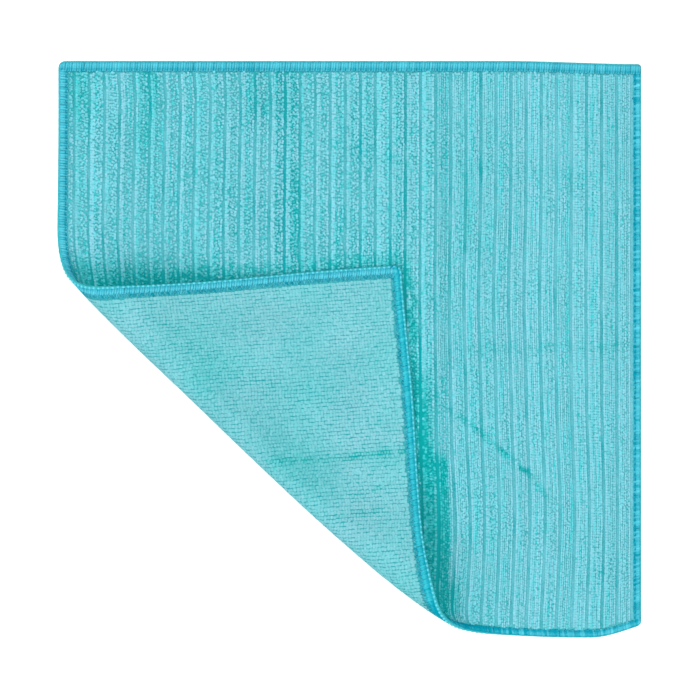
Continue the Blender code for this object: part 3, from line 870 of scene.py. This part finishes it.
def make_back_pile():
    """Flat stitches of the finer back face, where the folded corner shows it."""
    rng = np.random.default_rng(SEED + 10)
    wale_x = FIRST_GROOVE + (np.arange(*BACK_WALES) + 0.5) * WALE_PITCH - WIDTH / 2
    courses = int((LENGTH - 2 * RIM_WIDTH) / BACK_COURSE)
    wale, course = (grid.ravel() for grid in np.meshgrid(np.arange(len(wale_x)), np.arange(courses)))
    x = wale_x[wale] + vary(rng, "back_x", len(wale))
    shifted = (course + pick(rng, "back_shift", len(wale_x))[wale]) * BACK_COURSE
    y = shifted - LENGTH / 2 + RIM_WIDTH + vary(rng, "back_y", len(wale))
    _, _, arc, _ = FOLDED.arc_of(*uneven_outline(x, y))
    # The first stitch of each wale starts at the band
    first = BACK_RIM_WIDTH + BACK_HALF_LENGTH - BAND_OVERLAP - LENGTH / 2
    kept = (arc > 0.0) & (WIDTH / 2 + x > BACK_RIM_WIDTH + BAND_GAP) & (y > first - BACK_COURSE / 2)
    x, y = x[kept], y[kept]
    count = len(x)
    y = np.maximum(y, first + vary(rng, "back_end", count))
    world_x, world_y, share = on_flap(x, y)
    # Painted shade of the flap's creases
    crease = flap_crease_value(x, y, "shade") * (BACK_CREASE_MEAN + drift(world_x, world_y, "back_crease"))
    top = -pick(rng, "back_top", count) - flap_crease_value(x, y, "depth")
    turn = vary(rng, "back_turn", count)
    size = pick(rng, "back_size", count)
    # Where it is creased the stitches are parted
    half_width = BACK_HALF_WIDTH * pick(rng, "back_width", count) * (1.0 - PARTED * crease)
    points, triangles, each = arches(
        x, y, top, turn, BACK_HALF_LENGTH * size * (1.0 - 0.5 * PARTED * crease), half_width,
        np.full(count, BACK_HALF_HEIGHT), np.full(count, BACK_ARCH), BACK_RINGS, BACK_YARN, BACK_TAPER,
    )
    # Heights so far are out of the back face, which is down on the flat cloth
    points[:, 2] = -points[:, 2]
    triangles = triangles[:, ::-1]
    # Painted shade and light: the flap's creases and its darker and lighter patches, which also turn the
    # colour more vivid
    deeper = CREASE_SHARE * crease - nap_light_and_shade_tone(world_x, world_y, FLAP_LIGHT_AND_SHADE) * share
    tone = BACK_TONE + vary(rng, "back_tone", count) + drift(x, y, "back_tone")
    tone = tone - deeper * (1.0 + SPECKLE * rng.uniform(-1.0, 1.0, count))
    vivid = BACK_VIVID + vary(rng, "back_vivid", count) + drift(x, y, "back_vivid") + SHADE_VIVID * deeper
    # Painted shade: each stitch darker towards its feet, more so in the creases and dark patches
    depth = (points[:, 2] + np.repeat(top, each)) / (2.0 * BACK_HALF_HEIGHT)
    foot_shade = STITCH_FOOT_SHADE * (1.0 + BACK_DEEPER * np.maximum(deeper + crease, 0.0))
    tone = np.repeat(tone, each) - np.repeat(foot_shade, each) * depth
    return split_piles("back_pile", points, triangles, tone, np.repeat(vivid, each), each)


# ---- the overlocked edge


def side_point(side, run, inward):
    """Flat x and y of a point on one side of the cloth: its distance along it and in from it."""
    if side == "top":
        return run - WIDTH / 2, LENGTH / 2 - inward
    if side == "bottom":
        return run - WIDTH / 2, inward - LENGTH / 2
    if side == "left":
        return inward - WIDTH / 2, run - LENGTH / 2
    return WIDTH / 2 - inward, run - LENGTH / 2


# Cross-section of the thread round the edge: distance in from the edge, height and how much darker it is as
# painted shade, most where the thread dips at the needle line and round the very edge
WrapPoint = namedtuple("WrapPoint", "inward height shade")
WRAP = (
    WrapPoint(0.0060, 0.00165, 0.20),
    WrapPoint(0.0053, 0.00214, 0.16),
    WrapPoint(0.0044, 0.00222, 0.42),
    WrapPoint(0.0036, 0.00230, 0.20),
    WrapPoint(0.0020, 0.00228, 0.00),
    WrapPoint(0.0009, 0.00195, 0.26),
    WrapPoint(0.0004, 0.00130, 0.44),
    WrapPoint(0.0009, 0.00086, 0.56),
    WrapPoint(0.0018, 0.00036, 0.34),
    WrapPoint(0.0032, 0.00028, 0.00),
    WrapPoint(0.0042, 0.00032, 0.22),
    WrapPoint(0.0050, 0.00062, 0.40),
)


# One side of the seam: its name and band, its length and the middle of each stitch along it
Seam = namedtuple("Seam", "side band length stitch")


def flat_tubes(side, run, inward, height, half_width, half_height, section, width_runs):
    """Tubes of thread drawn in one side's own coordinates, as arrays of tubes by points."""
    run, inward, height, half_width, half_height = np.broadcast_arrays(
        run, inward, height, half_width, half_height
    )
    x, y = side_point(side, run, inward)
    centres = np.stack((x, y, height), axis=-1)
    along_x = side in ("top", "bottom")
    if width_runs == "up":
        direction = (0.0, 0.0, 1.0)
    else:
        direction = (1.0, 0.0, 0.0) if along_x == (width_runs == "along") else (0.0, 1.0, 0.0)
    return tubes(centres, np.broadcast_to(direction, centres.shape), half_width, half_height, section)


def sew(name, seed, draw, kinds=(None,), section=ROUND_THREAD, width_runs="along"):
    """One mesh of one sort of thread round the cloth, as draw gives it for each side and kind.

    width_runs says whether a thread's width lies along the side, across it or up.
    """
    rng = np.random.default_rng(SEED + seed)
    parts, total = [], 0
    for side, band in BANDS.items():
        length = WIDTH if side in ("top", "bottom") else LENGTH
        count = int(length / STITCH_PITCH)
        seam = Seam(side, band, length, ((np.arange(count) + 0.5) * length / count)[:, None])
        for kind in kinds:
            *line, tone, vivid = draw(rng, seam, kind)
            points, triangles, _ = flat_tubes(side, *line, section, width_runs)
            tone = np.repeat(tone, len(points) // len(tone))
            parts.append((points, triangles + total, tone, np.broadcast_to(vivid, len(points))))
            total += len(points)
    points, triangles, tone, vivid = (np.concatenate(values) for values in zip(*parts))
    return make_mesh(name, place(points), triangles, tone, vivid)


def by_point(values, count):
    """Values along a strand, for each point of a number of them."""
    inner = np.repeat(values[1:-1], len(FLAT_THREAD))
    return np.tile(np.concatenate((values[:1], inner, values[-1:])), count)


def strands(rng, seam, slant):
    """Thread over the edge, two strands to a stitch, from one needle line to the other."""
    stitch, band, count = seam.stitch, seam.band, len(seam.stitch)
    height, shade = column(WRAP, "height"), column(WRAP, "shade")
    progress = np.linspace(-1.0, 1.0, len(WRAP))
    on_front = progress < 0.0
    thick = swell(progress ** 2, STRAND_TAPER)
    lift = END_LIFT if seam.side in ("top", "bottom") else 0.0
    narrowed = column(WRAP, "inward") * np.where(on_front, band.width / RIM_WIDTH, 1.0)
    middle = stitch + slant * STITCH_PITCH * STRAND_APART
    needle = stitch + slant * STITCH_PITCH * NEEDLE_APART
    bend = vary(rng, "strand_bend", (count, 1)) * np.cos(progress * STRAND_CURVE)
    run = middle + (needle - middle) * progress ** 2 + bend
    run = run + STRAND_SLANT * progress + BACK_SLANT * np.clip(progress, 0.0, 1.0)
    run = np.clip(run, band.corner_stop, seam.length - band.corner_stop)
    inward = narrowed + vary(rng, "strand_reach", (count, 1)) * progress ** 4
    rise = height + np.where(height > LIFTED_ABOVE, lift, 0.0) + pick(rng, "strand_rise", (count, 1))
    wide = STRAND_HALF_WIDTH * pick(rng, "strand_width", (count, 1)) * thick
    spot_x, spot_y = side_point(seam.side, stitch[:, 0], np.full(count, RIM_WIDTH / 2))
    uneven = by_point(np.where(on_front, band.uneven, BACK_UNEVEN), count)
    each = len(uneven) // count
    # Painted shade on the stitches at the end of the throat
    tone = np.repeat(band.tone + nap_light_and_shade_tone(spot_x, spot_y, BAND_SHADOWS), each)
    tone = tone + np.repeat(rng.normal(0.0, 1.0, count), each) * uneven
    # Painted shade along each strand, from WRAP
    tone = tone - by_point(shade - np.where(on_front, 0.0, band.back), count)
    vivid = PLAIN_VIVID + by_point(np.where(on_front, 0.0, band.back_vivid), count)
    return run, inward, rise, wide, STRAND_HALF_HEIGHT * thick, tone, vivid


# The looper's chain: a row of beads towards each face
BeadRow = namedtuple("BeadRow", "height inward half_length half_width tone")
BEAD_ROWS = (
    BeadRow(0.00162, 0.00044, 0.00094, 0.00042, 0.40),
    BeadRow(0.00068, 0.00086, 0.00082, 0.00070, 0.98),
)


def beads(rng, seam, row):
    """The looper's chain along the very edge, a short bead of thread to each stitch."""
    stitch, stop = seam.stitch, seam.band.corner_stop
    t = np.linspace(-1.0, 1.0, BEAD_RINGS)
    run = stitch + t * row.half_length + vary(rng, "bead_run", stitch.shape)
    run = np.clip(run, stop, seam.length - stop)
    inward = row.inward + BEAD_CURVE * t ** 2 + pick(rng, "bead_inward", stitch.shape)
    wide = row.half_width * swell(t, BEAD_TAPER)
    tone = row.tone + vary(rng, "bead_tone", len(stitch))
    return run, inward, row.height + BEAD_SLOPE * t, wide, wide, tone, PLAIN_VIVID


def inner_loops(rng, seam, slant):
    """The thread's inner loops on the back: a V at each stitch, reaching into the knit."""
    t = np.linspace(0.0, 1.0, SCALLOP_RINGS)
    run = seam.stitch + slant * STITCH_PITCH * (SCALLOP_APART - SCALLOP_CLOSING * t)
    inward = SCALLOP_START + seam.band.scallop * t + vary(rng, "scallop_reach", seam.stitch.shape) * t
    height = SCALLOP_HEIGHT + SCALLOP_RISE * (2.0 * t - 1.0) ** 4
    wide = SCALLOP_HALF_WIDTH * swell(t, THREAD_TAPER)
    tone = SCALLOP_TONE + vary(rng, "scallop_tone", len(seam.stitch))
    return run, inward, height, wide, 0.5 * wide, tone, PLAIN_VIVID


def needle_stitches(rng, seam, _):
    """The needle's thread on the front: a short straight stitch at a time along the band's inner line."""
    t = np.linspace(-1.0, 1.0, NEEDLE_RINGS)
    run = np.minimum(seam.stitch + STITCH_PITCH * (NEEDLE_REACH * t + 0.5), seam.stitch[-1])
    inward = seam.band.needle + vary(rng, "needle_line", seam.stitch.shape)
    wide = NEEDLE_HALF_WIDTH * swell(t, THREAD_TAPER)
    tone = NEEDLE_TONE + vary(rng, "needle_tone", len(seam.stitch))
    return run, inward, NEEDLE_HEIGHT - NEEDLE_ARCH * t ** 2, wide, 0.5 * wide, tone, PLAIN_VIVID


# ---- materials


GRAIN = 0.80  # how far the fibre grain shifts the tone, in all
BUMP_STRENGTH = 0.30
BUMP_DISTANCE = 0.0002
KNIT_NOISE = (1400.0, 4500.0)  # scale of the fibre grain and of its bump, in the pile and the knit
THREAD_NOISE = (1600.0, 5000.0)
VIVID_TINT = (0.25, 1.10, 0.98)  # what the colour is multiplied by where it is fully vivid

# Colour at each step of the tone
PILE_STOPS = (
    (0.0, (0.014, 0.300, 0.345)),
    (0.2, (0.074, 0.362, 0.420)),
    (0.6, (0.183, 0.470, 0.560)),
    (1.0, (0.278, 0.570, 0.688)),
)
BACK_STOPS = (
    (0.0, (0.016, 0.292, 0.320)),
    (0.2, (0.077, 0.354, 0.390)),
    (0.6, (0.190, 0.460, 0.520)),
    (1.0, (0.286, 0.558, 0.638)),
)
THREAD_STOPS = (
    (0.0, (0.002, 0.262, 0.378)),
    (0.5, (0.085, 0.435, 0.570)),
    (1.0, (0.165, 0.605, 0.775)),
)


def set_inputs(node, values):
    for name, value in values.items():
        node.inputs[name].default_value = value


def fabric_material(name, stops, grain_scale, bump_scale):
    """A matte textile: its colour follows each loop's tone, which carries the painted shade, with a fine
    fibre grain.
    """
    material = bpy.data.materials.new(name)
    material.use_nodes = True
    nodes, links = material.node_tree.nodes, material.node_tree.links
    shader = nodes["Principled BSDF"]
    set_inputs(shader, {"Roughness": 1.0, "Specular IOR Level": 0.0})
    where = nodes.new("ShaderNodeTexCoord")

    def attribute(attribute_name):
        made = nodes.new("ShaderNodeAttribute")
        made.attribute_name = attribute_name
        return made.outputs["Fac"]

    def noise(scale, detail):
        made = nodes.new("ShaderNodeTexNoise")
        set_inputs(made, {"Scale": scale, "Detail": detail})
        links.new(where.outputs["Object"], made.inputs["Vector"])
        return made.outputs["Fac"]

    add = nodes.new("ShaderNodeMath")
    add.operation = "MULTIPLY_ADD"
    add.inputs[1].default_value = GRAIN
    links.new(noise(grain_scale, 3.0), add.inputs[0])
    links.new(attribute("tone"), add.inputs[2])
    shift = nodes.new("ShaderNodeMath")
    shift.operation = "SUBTRACT"
    shift.inputs[1].default_value = GRAIN / 2
    links.new(add.outputs[0], shift.inputs[0])
    ramp = nodes.new("ShaderNodeValToRGB")
    for element, (position, colour) in zip(ramp.color_ramp.elements, (stops[0], stops[-1])):
        element.position, element.color = position, (*colour, 1.0)
    for position, colour in stops[1:-1]:
        ramp.color_ramp.elements.new(position).color = (*colour, 1.0)
    links.new(shift.outputs[0], ramp.inputs["Fac"])
    tint = nodes.new("ShaderNodeMix")
    tint.data_type, tint.blend_type = "RGBA", "MULTIPLY"
    sockets = {socket.identifier: socket for socket in (*tint.inputs, *tint.outputs)}
    sockets["B_Color"].default_value = (*VIVID_TINT, 1.0)
    links.new(attribute("vivid"), sockets["Factor_Float"])
    links.new(ramp.outputs["Color"], sockets["A_Color"])
    links.new(sockets["Result_Color"], shader.inputs["Base Color"])
    bump = nodes.new("ShaderNodeBump")
    set_inputs(bump, {"Strength": BUMP_STRENGTH, "Distance": BUMP_DISTANCE})
    links.new(noise(bump_scale, 2.0), bump.inputs["Height"])
    links.new(bump.outputs["Normal"], shader.inputs["Normal"])
    return material


# ---- the stage


def make_floor():
    bpy.ops.mesh.primitive_grid_add(x_subdivisions=8, y_subdivisions=8, size=6.0)
    floor = bpy.context.object
    floor.name = "floor"
    material = bpy.data.materials.new("pale_floor")
    material.use_nodes = True
    set_inputs(material.node_tree.nodes["Principled BSDF"], {
        "Base Color": (0.90, 0.90, 0.90, 1.0), "Roughness": 0.9, "Specular IOR Level": 0.1,
        "Emission Color": (1.0, 1.0, 1.0, 1.0), "Emission Strength": 0.25,
    })
    floor.data.materials.append(material)


def add_softbox(name, location, size, power):
    data = bpy.data.lights.new(name, "AREA")
    data.shape = "SQUARE"
    data.size = size
    data.energy = power
    box = bpy.data.objects.new(name, data)
    box.location = location
    aim = -np.array(location)
    azimuth = math.atan2(aim[1], aim[0])
    tilt = math.acos(-aim[2] / np.linalg.norm(aim))
    box.rotation_euler = (tilt, 0.0, azimuth - math.pi / 2)
    bpy.context.scene.collection.objects.link(box)


def light_stage():
    add_softbox("key", (-1.15, -0.95, 1.85), 1.2, 19.0)
    add_softbox("top", (0.15, 0.25, 2.6), 1.0, 38.0)
    world = bpy.data.worlds.new("studio")
    bpy.context.scene.world = world
    world.use_nodes = True
    set_inputs(world.node_tree.nodes["Background"], {"Color": (1.0, 1.0, 1.0, 1.0), "Strength": 0.62})


def add_camera():
    data = bpy.data.cameras.new("camera")
    data.sensor_width = SENSOR
    data.lens = SENSOR * CAMERA_HEIGHT / FRAME_WIDTH
    data.clip_start, data.clip_end = 0.1, 20.0
    camera = bpy.data.objects.new("camera", data)
    camera.location = (*VIEW_CENTRE, CAMERA_HEIGHT)
    bpy.context.scene.collection.objects.link(camera)
    bpy.context.scene.camera = camera


# ---- putting it together

bpy.context.scene.view_settings.view_transform = "Standard"
panel = make_panel()
front = make_front_pile()
back = make_back_pile()
threads = [
    sew("overlock_ladder", 20, strands, (-1.0, 1.0), FLAT_THREAD),
    sew("overlock_chain", 21, beads, BEAD_ROWS, width_runs="up"),
    sew("overlock_scallops", 22, inner_loops, (-1.0, 1.0)),
    sew("needle_thread", 23, needle_stitches, width_runs="across"),
]

pile = fabric_material("ribbed_pile", PILE_STOPS, *KNIT_NOISE)
back_knit = fabric_material("back_knit", BACK_STOPS, *KNIT_NOISE)
thread = fabric_material("edge_thread", THREAD_STOPS, *THREAD_NOISE)
for piece in [panel] + front + back:
    piece.data.materials.append(back_knit if piece in back else pile)
for piece in threads:
    piece.data.materials.append(thread)
for piece in [panel] + front + back + threads:
    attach(piece, "root")
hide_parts("cloth")
make_floor()
light_stage()
add_camera()
